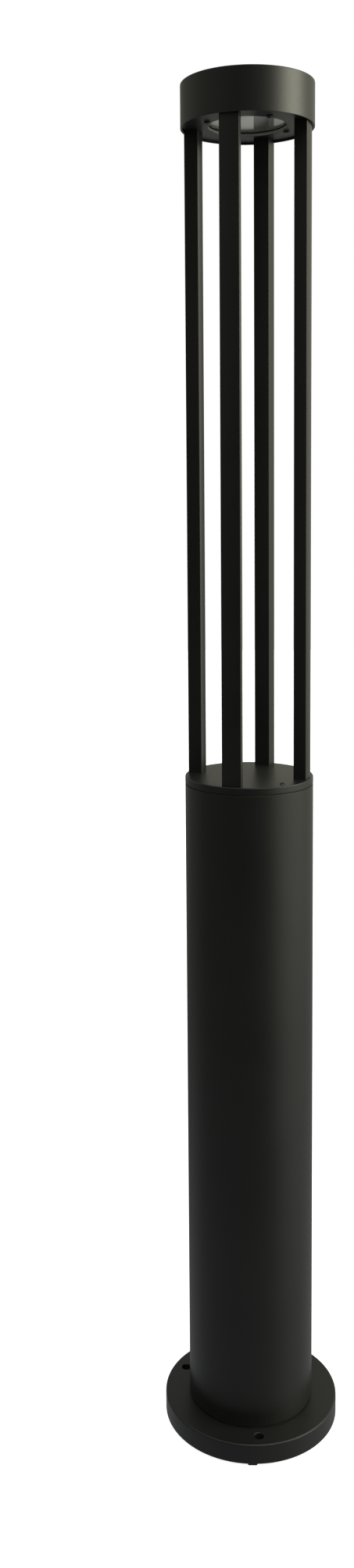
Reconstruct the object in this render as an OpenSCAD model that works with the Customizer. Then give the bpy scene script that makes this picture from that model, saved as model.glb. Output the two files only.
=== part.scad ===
// Bollard light. A round column stands on a cast flange and is closed by a deck.
// Four posts stand on the deck and carry a round head, whose lamp shines down
// through a glass in its underside. The origin is the centre of the seating
// plane under the pads, +Z is up, and -Y is the side of the first anchor hole.
// Azimuths are counted from -Y towards +X.

/* [Overall] */
// Height from the pads to the top of the head
total_h = 1200; // [800:10:1500]
// Diameter shared by the column, the deck and the head
body_d = 114; // [112:1:140]

/* [Base flange] */
// How far the flange stands out beyond the column
flange_margin = 22.5; // [20:0.5:50]
// Thickness of the flange
flange_t = 18; // [15:1:30]
// Thickness of the flange's rim and of its web above the hollow
flange_wall = 8; // [6:0.5:9]
// Radius of the rounded top edge of the flange
flange_edge = 1.5; // [0.5:0.25:3]
// Diameter of the cable entry in the middle of the flange
entry_d = 36; // [25:1:40]
// Height of the step that centres the column on the flange
register_h = 6; // [3:1:10]
// Number of anchor holes
anchor_n = 3; // [3:1:6]
// Diameter of an anchor hole
anchor_d = 8.5; // [6:0.5:9]
// Distance from the outside of the column to the middle of an anchor hole
anchor_offset = 10.5; // [10:0.5:12]
// Diameter of the boss around an anchor hole
anchor_boss_d = 18; // [15:1:20]
// Width of a rubber pad under the rim
pad_w = 8.4; // [5:0.2:10]
// Depth of a pad, measured towards the axis
pad_depth = 5; // [4:0.5:6]
// Setback of the pads from the edge of the flange
pad_setback = 1; // [1:0.25:3]
// How far the pads stand out below the flange
pad_drop = 2; // [1:0.5:4]
// Depth of a pad's pocket in the rim
pad_pocket = 3; // [2:0.5:6]
// Turn of the pads from the anchor holes
pad_turn = -5; // [-8:1:8]

/* [Column] */
// Wall of the column tube
column_wall = 3.5; // [2.5:0.5:4.5]
// Outer diameter of a screw port inside the tube
port_d = 10; // [9:0.5:11]
// Thread diameter of the tie rods and of the flange screws
rod_d = 6; // [5:0.5:6]
// Length of the flange screws
flange_screw_l = 34; // [28:1:45]
// Length of tie rod inside the column
rod_grip = 25; // [15:1:40]
// Length of screw port milled away for the lamp lead
port_cut = 130; // [120:5:160]
// Thickness of the flat gaskets under and over the column
gasket_t = 1; // [0.5:0.25:2]
// Setback of a flat gasket from the outside of the column
gasket_inset = 0.8; // [0.3:0.1:1.5]

/* [Cage] */
// Height from the deck to the lower rim of the head
cage_h = 557; // [300:1:700]
// Thickness of the deck
deck_t = 6; // [5:0.5:12]
// Radius of the rounded edge of the deck
deck_edge = 0.9; // [0.4:0.1:1.5]
// Width of a post across its outer face
post_w = 17.4; // [14:0.2:20]
// Depth of a post, measured towards the axis
post_depth = 11.8; // [11:0.2:13]
// Turn of the posts from the first anchor hole
post_turn = -22.5; // [-45:0.5:45]
// Diameter of the dome of the vent plug
vent_d = 5.5; // [4:0.5:8]
// Height of the dome of the vent plug
vent_h = 1.4; // [0.8:0.1:2]
// Azimuth of the vent plug
vent_turn = 30; // [26:1:40]

/* [Head] */
// Height of the head
head_h = 36; // [36:1:60]
// Wall of the head's skirt
skirt_wall = 2; // [1.5:0.25:3]
// Thickness of the head's top
top_t = 4; // [3:0.5:6]
// Radius of the rounded top edge of the head
head_edge = 0.8; // [0.5:0.1:3]
// Depth of the carrier plate above the rim of the skirt
carrier_recess = 1.5; // [0.5:0.25:3]
// Thickness of the carrier plate
carrier_t = 6; // [5:0.5:8]
// Diameter of the light opening
aperture_d = 67; // [55:1:68]
// Thickness of the lip under the glass
lip_t = 2.5; // [2:0.25:3]
// Thickness of the glass
glass_t = 3; // [2:0.5:4]
// Thickness of the gasket under the glass
lens_gasket_t = 0.5; // [0.3:0.1:1]
// Width of the ledge that holds the glass
ledge_w = 1.6; // [1.2:0.1:2]
// Thickness of the clamp ring over the glass
clamp_t = 2; // [1.5:0.25:3]
// Height of the reflector
reflector_h = 10.5; // [8:0.5:14]
// Sheet thickness of the reflector
reflector_wall = 0.8; // [0.6:0.1:1.2]
// Diameter of the reflector's upper opening
reflector_eye_d = 19; // [16:1:20]
// Diameter of the lamp board
board_d = 36; // [34:1:37]
// Thickness of the lamp board
board_t = 1.6; // [1:0.1:2]
// Diameter of the lamp's glowing disc
chip_d = 13; // [8:1:15]

/* [Gear in the column] */
// Length of tray above the lamp driver
tray_margin = 36; // [10:2:60]
// Width of the tray
tray_w = 54; // [50:1:56]
// Sheet thickness of the tray
tray_t = 2; // [1.5:0.5:3]
// Width, depth and height of the terminal box
terminal_size = [50, 32, 64]; // [20:1:70]
// Width, depth and height of the lamp driver
driver_size = [42, 28, 150]; // [20:1:160]
// Diameter of the lamp lead
lead_d = 4.4; // [3:0.2:5]

/* [Hidden] */
$fn = 96;

// Clearances: between parts that slide together, and round a screw's shank
slide_gap = 0.3;
thread_gap = 0.1;
shank_gap = 0.3;
// Extra length of a cutting tool beyond the face that it cuts
over = 1;
// Overlap that joins two solids of one piece
bite = 0.1;

body_r = body_d / 2;
bore_r = body_r - column_wall;
flange_r = body_r + flange_margin;
rod_r = rod_d / 2;

// Levels, from the ground up
flange_z0 = pad_drop;
flange_z1 = flange_z0 + flange_t;
web_z0 = flange_z1 - flange_wall;
register_z = flange_z1 + register_h;
column_z0 = flange_z1 + gasket_t;
head_z0 = total_h - head_h;
deck_z1 = head_z0 - cage_h;
deck_z0 = deck_z1 - deck_t;
column_z1 = deck_z0 - gasket_t;
carrier_z0 = head_z0 + carrier_recess;
carrier_z1 = carrier_z0 + carrier_t;
ceiling_z = total_h - top_t;
lip_z = carrier_z0 + lip_t;
glass_z0 = lip_z + lens_gasket_t;
glass_z1 = glass_z0 + glass_t;
clamp_z0 = max(carrier_z1, glass_z1);
clamp_z1 = clamp_z0 + clamp_t;
chip_t = 0.6;
board_z0 = clamp_z1 + reflector_h;
board_z1 = board_z0 + board_t;

// Posts: annular sectors that just fit inside the skirt
skirt_r = body_r - skirt_wall;
post_r1 = skirt_r - slide_gap;
post_r0 = post_r1 - post_depth;
post_half = asin(post_w / 2 / post_r1);
post_bore_r = rod_r + shank_gap;
rod_pcr = post_r1 - post_depth / 2;
lead_post = 2;
rod_posts = [0, 1, 3];

// Column: screw ports in line with the tie rods, and the step between them
port_bore_r = rod_r + thread_gap;
register_r = rod_pcr - port_d / 2 - slide_gap;
hub_wall = 3;
hub_r = rod_pcr + port_d / 2 + hub_wall;
rim_r = flange_r - flange_wall;
anchor_pcr = body_r + anchor_offset;
rib_w = 5;
anchor_bevel = 0.3;
screw_head_d = 2 * rod_d;
screw_head_h = 0.55 * rod_d;
nut_af = 10;
nut_h = 5;
rod_end = 1.5;
deck_ring_wall = 8;
vent_stem_r = 1.5;
vent_hole_r = 2.5;
// Sphere whose cap is vent_d wide and vent_h high
vent_r = (vent_d * vent_d / 4 + vent_h * vent_h) / (2 * vent_h);

// Head: the glass in its pocket, and the screws around it
aperture_r = aperture_d / 2;
pocket_r = aperture_r + ledge_w;
glass_gap = 0.2;
glass_r = pocket_r - glass_gap;
small_screw_r = 1.5;
small_head_r = 2.75;
small_head_h = 1.6;
cap_boss_r = 3.6;
screw_wall = 1.6;
cap_screw_pcr = pocket_r + small_screw_r + screw_wall;
cap_screw_grip = 8;
clamp_r1 = cap_screw_pcr + small_head_r + slide_gap;
// The reflector's rim stays clear of the cap's bosses and rests on the clamp ring
reflector_rim_r = cap_screw_pcr - cap_boss_r - slide_gap;
reflector_seat = 1.5;
clamp_r0 = reflector_rim_r - reflector_seat;
clamp_screw_l = 4;
clamp_screw_turn = 22;
tip_gap = 0.5;
seal_r = 1;
seal_gap = 0.1;
groove_r = seal_r + seal_gap;
seal_pcr = skirt_r - seal_r - seal_gap / 2;
seal_z = carrier_z0 + carrier_t / 2;
board_head_h = 1.2;
board_screw_grip = 6;
board_screw_pcr = board_d / 2 - small_head_r - 0.75;
spreader_head_r = 3.5;
spreader_wall = 1.5;
spreader_screw_pcr = board_d / 2 + spreader_head_r + 0.7;
spreader_r = spreader_screw_pcr + spreader_head_r + spreader_wall;
spreader_head_h = 2.8;
spreader_sink = 3;
spreader_shank_r = 2;
spreader_tip_wall = 1.5;
spreader_hole_wall = 1.2;

// Gear: a folded tray whose foot stands on the flange's step
tray_y = 12;
foot_l = 22;
terminal_z = register_z + 36;
terminal_top_z = terminal_z + terminal_size[2];
driver_z = terminal_top_z + 34;
driver_top_z = driver_z + driver_size[2];
driver_screw_z = [for (s = [-1, 1]) driver_z + driver_size[2] * (0.5 + 0.4 * s)];
driver_screw_l = 5;
driver_head_h = 2;
tray_top_z = driver_top_z + tray_margin;
gland_y = tray_y - terminal_size[1] / 2;
tray_screw_x = 18;
tray_screw_y = tray_y + tray_t + 12;
tray_screw_r = 2;
tray_head_r = 3.5;
tray_head_h = 2.4;
// Web left under the tip of a screw that goes down into the flange
blind_wall = 2;
box_wall = 2;
block_size = [30, 14, 20];
block_z = terminal_z + 22;
block_pitch = 10;
block_bore_r = 2.2;
earth_screw_r = 2.5;
earth_head_af = 8;
earth_head_h = 4;
earth_lead_r = 1.4;
earth_inset = [5, 6, 0];
driver_lead_r = 2.9;
lead_r = lead_d / 2;
nipple_r = 3.6;
nipple_bore_r = 2.7;
nipple_l = 24;

// Cable glands: radius of the stub and of the bore, and width of the hexagon
inlet_gland_size = [8, 5, 20];
outlet_gland_size = [5, 3.1, 13];
gland_stub_l = 4;
gland_hex_h = 5;
gland_h = 14;

// Charcoal powder coat of the outside, and the inside parts' own finishes
charcoal = "#3b3d37";
rubber = "#202020";
steel = "#b5b8ba";
cast = "#a9acae";
cable = "#26282a";

// Puts its children at an azimuth and a distance from the axis
module around(azimuth, radius) rotate([0, 0, azimuth]) translate([0, -radius, 0]) children();

function post_azimuth(i) = post_turn + 90 * i;
function between_azimuth(i) = post_turn + 45 + 90 * i;
function anchor_azimuth(i) = 360 / anchor_n * i;

module disc(r, z0, z1) translate([0, 0, z0]) cylinder(r = r, h = z1 - z0);

module ring(r0, r1, z0, z1) difference() {
    disc(r1, z0, z1);
    disc(r0, z0 - over, z1 + over);
}

// A disc whose upper edge is rounded
module domed_disc(r, z0, z1, edge) translate([0, 0, z0]) rotate_extrude() {
    square([r, z1 - z0 - edge]);
    square([r - edge, z1 - z0]);
    translate([r - edge, z1 - z0 - edge]) intersection() {
        circle(r = edge, $fn = 48);
        square(edge);
    }
}

module hex(af, z0, z1) translate([0, 0, z0]) cylinder(d = af / cos(30), h = z1 - z0, $fn = 6);

// A screw whose head is under its shank, as seen from below
module pan_screw(head_r, head_h, shank_r, z, grip) {
    disc(shank_r, z - bite, z + grip);
    disc(head_r, z - head_h, z);
}

module countersunk_screw(z, length) {
    translate([0, 0, z]) cylinder(d1 = screw_head_d, d2 = rod_d, h = screw_head_h);
    disc(rod_r, z + screw_head_h / 2, z + length);
}

// ---- Base ----

module flange_casting() {
    difference() {
        domed_disc(flange_r, flange_z0, flange_z1, flange_edge);
        disc(rim_r, flange_z0 - over, web_z0);
    }
    disc(register_r, flange_z1 - over, register_z);
    ring(register_r, hub_r, flange_z0, web_z0 + over);
    for (i = [0 : anchor_n - 1]) {
        around(anchor_azimuth(i), anchor_pcr) disc(anchor_boss_d / 2, flange_z0, web_z0 + over);
        around(anchor_azimuth(i + 0.5), (hub_r + rim_r) / 2)
            translate([-rib_w / 2, -(rim_r - hub_r) / 2 - over, flange_z0])
            cube([rib_w, rim_r - hub_r + 2 * over, web_z0 - flange_z0 + over]);
    }
}

module base_flange() color(charcoal) difference() {
    flange_casting();
    disc(entry_d / 2, web_z0 - over, register_z + over);
    for (i = [0 : anchor_n - 1]) around(anchor_azimuth(i), anchor_pcr) {
        disc(anchor_d / 2, flange_z0 - over, flange_z1 + over);
        translate([0, 0, flange_z1 - anchor_bevel])
            cylinder(d1 = anchor_d, d2 = anchor_d + 4 * anchor_bevel, h = 2 * anchor_bevel);
    }
    for (i = [0 : 3]) around(post_azimuth(i), rod_pcr) {
        disc(rod_r + shank_gap, flange_z0 - over, flange_z1 + over);
        disc(screw_head_d / 2 + shank_gap, flange_z0 - over, flange_z0);
        translate([0, 0, flange_z0])
            cylinder(r1 = screw_head_d / 2 + shank_gap, r2 = rod_r + shank_gap, h = screw_head_h);
    }
    for (x = [-1, 1]) translate([x * tray_screw_x, tray_screw_y, 0])
        disc(tray_screw_r + thread_gap, web_z0 - over, register_z + over);
    at_earth() disc(earth_screw_r + thread_gap, web_z0 - over, register_z + over);
    pads(slide_gap / 2, flange_z0 - over, flange_z0 + pad_pocket);
}

// The pads' outline, grown by a gap, between two levels
module pads(gap, z0, z1) for (i = [0 : anchor_n - 1])
    around(anchor_azimuth(i) + pad_turn, flange_r - pad_setback)
    translate([-pad_w / 2 - gap, -gap, z0])
    cube([pad_w + 2 * gap, pad_depth + 2 * gap, z1 - z0]);

module seating_pads() color(rubber) pads(0, 0, flange_z0 + pad_pocket);

module flange_screws() color(steel) for (i = [0 : 3])
    around(post_azimuth(i), rod_pcr) countersunk_screw(flange_z0 + thread_gap, flange_screw_l);

module base_gasket() color(rubber) flat_gasket(flange_z1, column_z0, [0, 1, 2, 3]);

// A flat ring the width of the column's end, holed for the rods or screws
module flat_gasket(z0, z1, holes) difference() {
    ring(register_r + slide_gap, body_r - gasket_inset, z0, z1);
    for (i = holes) around(post_azimuth(i), rod_pcr) disc(rod_r + shank_gap, z0 - over, z1 + over);
}

// ---- Column ----

module column_tube() color(charcoal) difference() {
    union() {
        ring(bore_r, body_r, column_z0, column_z1);
        intersection() {
            disc(bore_r + column_wall / 2, column_z0, column_z1);
            for (i = [0 : 3]) around(post_azimuth(i), rod_pcr) disc(port_d / 2, column_z0, column_z1);
        }
    }
    for (i = [0 : 3]) around(post_azimuth(i), rod_pcr)
        disc(port_bore_r, column_z0 - over, column_z1 + over);
    intersection() {
        disc(bore_r, column_z1 - port_cut, column_z1 + over);
        around(post_azimuth(lead_post), rod_pcr)
            disc(port_d / 2 + 1, column_z1 - port_cut, column_z1 + over);
    }
}

// ---- Gear inside the column ----

module gear_tray() color(steel) difference() {
    translate([-tray_w / 2, tray_y, register_z]) {
        cube([tray_w, tray_t, tray_top_z - register_z]);
        cube([tray_w, foot_l, tray_t]);
    }
    for (x = [-1, 1]) translate([x * tray_screw_x, tray_screw_y, 0])
        disc(tray_screw_r + shank_gap, register_z - over, register_z + tray_t + over);
    at_driver_screws() disc(small_screw_r + shank_gap, tray_y - over, tray_y + tray_t + over);
}

// Horizontal axes of the screws that hold the driver, counted along +Y
module at_driver_screws() for (z = driver_screw_z) translate([0, 0, z]) rotate([-90, 0, 0]) children();

module tray_screws() color(steel) for (x = [-1, 1]) translate([x * tray_screw_x, tray_screw_y, 0]) {
    disc(tray_screw_r, web_z0 + blind_wall, register_z + tray_t);
    disc(tray_head_r, register_z + tray_t, register_z + tray_t + tray_head_h);
}

// The box's outline, from the tray towards -Y
module gear_box(size, z) translate([-size[0] / 2, tray_y - size[1], z]) cube(size);

module terminal_box() color("#8d9194") difference() {
    gear_box(terminal_size, terminal_z);
    translate([-terminal_size[0] / 2 + box_wall, tray_y - terminal_size[1] - over, terminal_z + box_wall])
        cube(terminal_size + [-2 * box_wall, over - box_wall, -2 * box_wall]);
    translate([0, gland_y, 0]) {
        disc(inlet_gland_size[0] + thread_gap, terminal_z - over, terminal_z + box_wall + over);
        disc(outlet_gland_size[0] + thread_gap, terminal_top_z - box_wall - over, terminal_top_z + over);
    }
}

module terminal_lid() color("#9da1a4")
    translate([-terminal_size[0] / 2, tray_y - terminal_size[1] - box_wall, terminal_z])
    cube([terminal_size[0], box_wall, terminal_size[2]]);

// The block stands against the back of the box, with its ways upright
module terminal_block() color("#e6e6de") translate([0, tray_y - box_wall, 0]) difference() {
    translate([-block_size[0] / 2, -block_size[1], block_z]) cube(block_size);
    for (i = [-1 : 1]) translate([i * block_pitch, -block_size[1] / 2, 0])
        disc(block_bore_r, block_z - over, block_z + block_size[2] + over);
}

module inlet_gland() color(rubber) mirror([0, 0, 1])
    translate([0, gland_y, -terminal_z]) gland_body(inlet_gland_size);

module outlet_gland() color(rubber) translate([0, gland_y, terminal_top_z]) gland_body(outlet_gland_size);

// A cable gland on a vertical axis: threaded stub, hexagon and clamping nut
module gland_body(size) difference() {
    union() {
        disc(size[0], -gland_stub_l, bite);
        hex(size[2], 0, gland_hex_h);
        disc(size[2] / 2 - 0.5, gland_hex_h - bite, gland_h);
    }
    disc(size[1], -gland_stub_l - over, gland_h + over);
}

// The earth screw stands under the terminal box, clear of the cable entry
module at_earth() translate([-terminal_size[0] / 2, tray_y - terminal_size[1], 0])
    translate(earth_inset) children();

module earth_screw() color("#c9a24b") at_earth() {
    disc(earth_screw_r, web_z0 + blind_wall, register_z + bite);
    hex(earth_head_af, register_z, register_z + earth_head_h);
}

module earth_lead() color("#7fae3a") at_earth() disc(earth_lead_r, register_z + earth_head_h, terminal_z);

module led_driver() color("#d7d9d6") difference() {
    gear_box(driver_size, driver_z);
    at_driver_screws() disc(small_screw_r + thread_gap, tray_y - driver_screw_l - 1, tray_y + over);
}

module driver_screws() color(steel) at_driver_screws() {
    disc(small_screw_r, tray_y - driver_screw_l, tray_y + tray_t);
    disc(small_head_r, tray_y + tray_t, tray_y + tray_t + driver_head_h);
}

module driver_lead() color(cable) translate([0, gland_y, 0])
    disc(driver_lead_r, terminal_top_z - box_wall, driver_z);

// The lamp lead lies in the radial plane of its post. In that plane it goes up
// from the driver, swings out to the post in two bends, climbs the post, and
// turns in over the clamp ring to the edge of the lamp board. Each point of its
// route is [distance from the axis, height, lean of the route from upright].
lead_x0 = -2;
lead_bend_r = 26;
lead_lean = 60;
lead_step = 10;
lead_sides = 12;
lead_slant = (rod_pcr - lead_x0 - 2 * lead_bend_r * (1 - cos(lead_lean))) / sin(lead_lean);
lead_z1 = column_z1 - 12;
lead_z0 = lead_z1 - 2 * lead_bend_r * sin(lead_lean) - lead_slant * cos(lead_lean);
lead_top_z = board_z0 - lead_r - 0.4;
lead_top_bend_r = 2 * lead_d;
lead_tuck = 0.5;

lead_route = concat(
    [[lead_x0, driver_top_z, 0]],
    [for (a = [0 : lead_step : lead_lean])
        [lead_x0 + lead_bend_r * (1 - cos(a)), lead_z0 + lead_bend_r * sin(a), a]],
    [for (a = [lead_lean : -lead_step : 0])
        [rod_pcr - lead_bend_r * (1 - cos(a)), lead_z1 - lead_bend_r * sin(a), a]],
    [for (a = [0 : lead_step : 90])
        [rod_pcr - lead_top_bend_r * (1 - cos(a)), lead_top_z - lead_top_bend_r * (1 - sin(a)), -a]],
    [[board_d / 2 - lead_tuck, lead_top_z, -90]]);

// One ring of the swept tube, square to the route
function lead_ring(p) = [for (k = [0 : lead_sides - 1]) let (a = 360 * k / lead_sides)
    [p[0] + lead_r * cos(a) * cos(p[2]), lead_r * sin(a), p[1] - lead_r * cos(a) * sin(p[2])]];

// The two triangles of the side from edge a to edge b, up from the ring that starts at point p
function lead_side(p, a, b) = let (q = p + lead_sides) [[p + a, q + a, p + b], [p + b, q + a, q + b]];

module lamp_lead() color(cable) rotate([0, 0, post_azimuth(lead_post) - 90]) {
    n = lead_sides;
    last = len(lead_route) - 1;
    polyhedron(
        points = [for (p = lead_route) each lead_ring(p)],
        faces = concat(
            [[for (k = [0 : n - 1]) k]],
            [[for (k = [n - 1 : -1 : 0]) last * n + k]],
            [for (i = [0 : last - 1], k = [0 : n - 1]) each lead_side(i * n, k, (k + 1) % n)]));
}

// ---- Deck and posts ----

module deck_plate() color(charcoal) difference() {
    union() {
        domed_disc(body_r, deck_z0, deck_z1, deck_edge);
        disc(register_r, deck_z0 - register_h, deck_z0 + over);
    }
    disc(register_r - deck_ring_wall, deck_z0 - register_h - over, deck_z0);
    for (i = rod_posts) around(post_azimuth(i), rod_pcr)
        disc(rod_r + shank_gap, deck_z0 - over, deck_z1 + over);
    around(post_azimuth(lead_post), rod_pcr) disc(nipple_r + thread_gap, deck_z0 - over, deck_z1 + over);
    around(vent_turn, rod_pcr) disc(vent_stem_r + thread_gap, deck_z0 - over, deck_z1 + over);
}

module deck_gasket() color(rubber) difference() {
    flat_gasket(column_z1, deck_z0, rod_posts);
    around(post_azimuth(lead_post), rod_pcr) disc(nipple_r + shank_gap, column_z1 - over, deck_z0 + over);
    around(vent_turn, rod_pcr) disc(vent_hole_r, column_z1 - over, deck_z0 + over);
}

module vent_plug() color(steel) around(vent_turn, rod_pcr) {
    disc(vent_stem_r, deck_z0, deck_z1 + bite);
    translate([0, 0, deck_z1]) intersection() {
        translate([0, 0, vent_h - vent_r]) sphere(r = vent_r);
        disc(vent_d / 2, 0, vent_h + over);
    }
}

// One post: a radial-sided bar with a bore along it
module post(i, bore) color(charcoal) difference() {
    intersection() {
        ring(post_r0, post_r1, deck_z1, carrier_z0);
        rotate([0, 0, post_azimuth(i)]) translate([0, 0, deck_z1])
            linear_extrude(carrier_z0 - deck_z1)
            polygon([[0, 0], for (s = [-1, 1]) 2 * post_r1 * [s * sin(post_half), -cos(post_half)]]);
    }
    around(post_azimuth(i), rod_pcr) {
        disc(post_bore_r, deck_z1 - over, carrier_z0 + over);
        if (bore > post_bore_r) {
            disc(bore, deck_z1 - over, deck_z1 + nipple_l - deck_t + over);
            disc(bore, carrier_z0 - nipple_l + carrier_t - over, carrier_z0 + over);
        }
    }
}

module front_post() post(0, post_bore_r);
module right_post() post(1, post_bore_r);
module back_post() post(2, nipple_r + thread_gap);
module left_post() post(3, post_bore_r);

module tie_rods() color(steel) for (i = rod_posts) around(post_azimuth(i), rod_pcr)
    disc(rod_r, column_z1 - rod_grip, carrier_z1 + nut_h + rod_end);

module rod_nuts() color(steel) for (i = rod_posts) around(post_azimuth(i), rod_pcr) difference() {
    hex(nut_af, carrier_z1, carrier_z1 + nut_h);
    disc(rod_r + thread_gap, carrier_z1 - over, carrier_z1 + nut_h + over);
}

// Hollow threaded stubs that pin the lead's post to the deck and the carrier
module lead_nipples() color(steel) around(post_azimuth(lead_post), rod_pcr) {
    ring(nipple_bore_r, nipple_r, deck_z0, deck_z0 + nipple_l);
    ring(nipple_bore_r, nipple_r, carrier_z1 - nipple_l, carrier_z1);
}

// ---- Head ----

module carrier_plate() color(charcoal) difference() {
    disc(post_r1, carrier_z0, carrier_z1);
    disc(aperture_r, carrier_z0 - over, carrier_z1 + over);
    disc(pocket_r, lip_z, carrier_z1 + over);
    ring(seal_pcr - groove_r, post_r1 + over, seal_z - groove_r, seal_z + groove_r);
    for (i = rod_posts) around(post_azimuth(i), rod_pcr)
        disc(rod_r + thread_gap, carrier_z0 - over, carrier_z1 + over);
    around(post_azimuth(lead_post), rod_pcr)
        disc(nipple_r + thread_gap, carrier_z0 - over, carrier_z1 + over);
    for (i = [0 : 3]) {
        around(between_azimuth(i), cap_screw_pcr)
            disc(small_screw_r + thread_gap, carrier_z0 - over, carrier_z1 + over);
        around(clamp_azimuth(i), cap_screw_pcr)
            disc(small_screw_r + thread_gap, carrier_z1 - clamp_screw_l, carrier_z1 + over);
    }
}

function clamp_azimuth(i) = between_azimuth(i) + clamp_screw_turn;

module head_seal() color(rubber) translate([0, 0, seal_z]) rotate_extrude()
    translate([seal_pcr, 0]) circle(r = seal_r, $fn = 32);

module lens_gasket() color(rubber) ring(aperture_r, glass_r, lip_z, glass_z0);

module lens_glass() color("#cfe0dc", 0.4) disc(glass_r, glass_z0, glass_z1);

module clamp_ring() color(cast) difference() {
    ring(clamp_r0, clamp_r1, clamp_z0, clamp_z1);
    for (i = [0 : 3]) {
        around(between_azimuth(i), cap_screw_pcr)
            disc(cap_boss_r + slide_gap, clamp_z0 - over, clamp_z1 + over);
        around(clamp_azimuth(i), cap_screw_pcr)
            disc(small_screw_r + thread_gap, clamp_z0 - over, clamp_z1 + over);
    }
}

module clamp_screws() color(steel) for (i = [0 : 3]) around(clamp_azimuth(i), cap_screw_pcr) {
    disc(small_screw_r, clamp_z0 - clamp_screw_l + tip_gap, clamp_z1);
    disc(small_head_r, clamp_z1, clamp_z1 + small_head_h);
}

// Bowl with a curved section, and a flat rim that rests on the clamp ring
reflector_eye_r = reflector_eye_d / 2;
reflector_r = clamp_r0 - 1;
reflector_curve = 1.6;
reflector_steps = 12;

// A point of the inner skin, from 0 at the rim to 1 at the upper opening
function reflector_in(t) =
    [reflector_eye_r + (reflector_r - reflector_eye_r) * pow(1 - t, reflector_curve), t * reflector_h];

// The outer skin is lifted towards the rim, where the bowl lies flattest
function reflector_out(t) = reflector_in(t) + reflector_wall * [1, 1 - t];

module reflector() color("#d9dcde") translate([0, 0, clamp_z1]) rotate_extrude() polygon(concat(
    [for (k = [0 : reflector_steps]) reflector_in(k / reflector_steps)],
    [for (k = [reflector_steps : -1 : 1]) reflector_out(k / reflector_steps)],
    [[reflector_rim_r, reflector_wall], [reflector_rim_r, 0]]));

module led_board() color("#e9ebe8") difference() {
    disc(board_d / 2, board_z0, board_z1);
    for (i = [0, 2]) around(between_azimuth(i), board_screw_pcr)
        disc(small_screw_r + thread_gap, board_z0 - over, board_z1 + over);
}

module led_chip() color("#e8c84a") disc(chip_d / 2, board_z0 - chip_t, board_z0);

module board_screws() color(steel) for (i = [0, 2])
    around(between_azimuth(i), board_screw_pcr)
    pan_screw(small_head_r, board_head_h, small_screw_r, board_z0, board_screw_grip);

module heat_spreader() color(cast) difference() {
    disc(spreader_r, board_z1, ceiling_z);
    for (i = [0, 2]) around(between_azimuth(i), board_screw_pcr)
        disc(small_screw_r + thread_gap, board_z1 - over, board_z1 + board_screw_grip);
    for (i = [0 : 2]) around(post_turn + 120 * i, spreader_screw_pcr) {
        disc(spreader_head_r + slide_gap, board_z1 - over, board_z1 + spreader_sink);
        disc(spreader_shank_r + thread_gap, board_z1 - over, ceiling_z + over);
    }
}

module spreader_screws() color(steel) for (i = [0 : 2])
    around(post_turn + 120 * i, spreader_screw_pcr)
    pan_screw(spreader_head_r, spreader_head_h, spreader_shank_r, board_z1 + spreader_sink,
              total_h - spreader_tip_wall - board_z1 - spreader_sink);

module head_cap() color(charcoal) difference() {
    domed_disc(body_r, head_z0, total_h, head_edge);
    difference() {
        disc(skirt_r, head_z0 - over, ceiling_z);
        for (i = [0 : 3]) around(between_azimuth(i), cap_screw_pcr)
            disc(cap_boss_r, carrier_z1, ceiling_z + over);
    }
    for (i = [0 : 3]) around(between_azimuth(i), cap_screw_pcr)
        disc(small_screw_r + thread_gap, carrier_z1 - over, carrier_z1 + cap_screw_grip + over);
    for (i = [0 : 2]) around(post_turn + 120 * i, spreader_screw_pcr)
        disc(spreader_shank_r + thread_gap, ceiling_z - over, total_h - spreader_hole_wall);
}

module cap_screws() color(steel) for (i = [0 : 3]) around(between_azimuth(i), cap_screw_pcr)
    pan_screw(small_head_r, small_head_h, small_screw_r, carrier_z0, carrier_t + cap_screw_grip);

base_flange();
seating_pads();
flange_screws();
base_gasket();
column_tube();
gear_tray();
tray_screws();
terminal_box();
terminal_lid();
terminal_block();
inlet_gland();
outlet_gland();
earth_screw();
earth_lead();
led_driver();
driver_screws();
driver_lead();
lamp_lead();
deck_plate();
deck_gasket();
vent_plug();
front_post();
right_post();
back_post();
left_post();
tie_rods();
rod_nuts();
lead_nipples();
carrier_plate();
head_seal();
lens_gasket();
lens_glass();
clamp_ring();
clamp_screws();
reflector();
led_board();
led_chip();
board_screws();
heat_spreader();
spreader_screws();
head_cap();
cap_screws();
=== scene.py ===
"""Bollard light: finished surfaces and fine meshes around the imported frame."""
import logging
import math
from dataclasses import dataclass, field, replace
from enum import Enum
from typing import Any, Sequence

import bmesh
import bpy
from mathutils import Matrix, Vector


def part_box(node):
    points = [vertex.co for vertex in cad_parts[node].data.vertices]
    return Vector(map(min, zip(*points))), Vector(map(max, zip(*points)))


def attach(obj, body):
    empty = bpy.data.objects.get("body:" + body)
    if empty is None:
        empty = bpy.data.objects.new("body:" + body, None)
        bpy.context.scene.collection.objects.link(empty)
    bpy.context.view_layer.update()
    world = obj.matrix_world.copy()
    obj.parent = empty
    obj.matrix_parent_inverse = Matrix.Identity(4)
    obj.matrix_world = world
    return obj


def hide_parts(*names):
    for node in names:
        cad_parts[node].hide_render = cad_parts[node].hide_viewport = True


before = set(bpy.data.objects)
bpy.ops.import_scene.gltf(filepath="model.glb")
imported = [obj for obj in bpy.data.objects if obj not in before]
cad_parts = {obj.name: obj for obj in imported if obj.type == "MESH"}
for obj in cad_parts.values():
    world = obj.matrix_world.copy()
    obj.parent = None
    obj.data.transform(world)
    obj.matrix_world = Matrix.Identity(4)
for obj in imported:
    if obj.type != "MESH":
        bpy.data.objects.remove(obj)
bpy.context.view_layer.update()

MM = 0.001
OVER = 1 * MM
FINE_STEPS = 256
TURN_STEPS = 192
DISC_STEPS = 96
HOLE_STEPS = 64
SMALL_STEPS = 48
GASKET_EDGE = 0.2 * MM
TIP_EDGE = 0.3 * MM
LOG = logging.getLogger("bollard")

Colour = tuple[float, float, float]
Corner = tuple[float, float, float]


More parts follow.
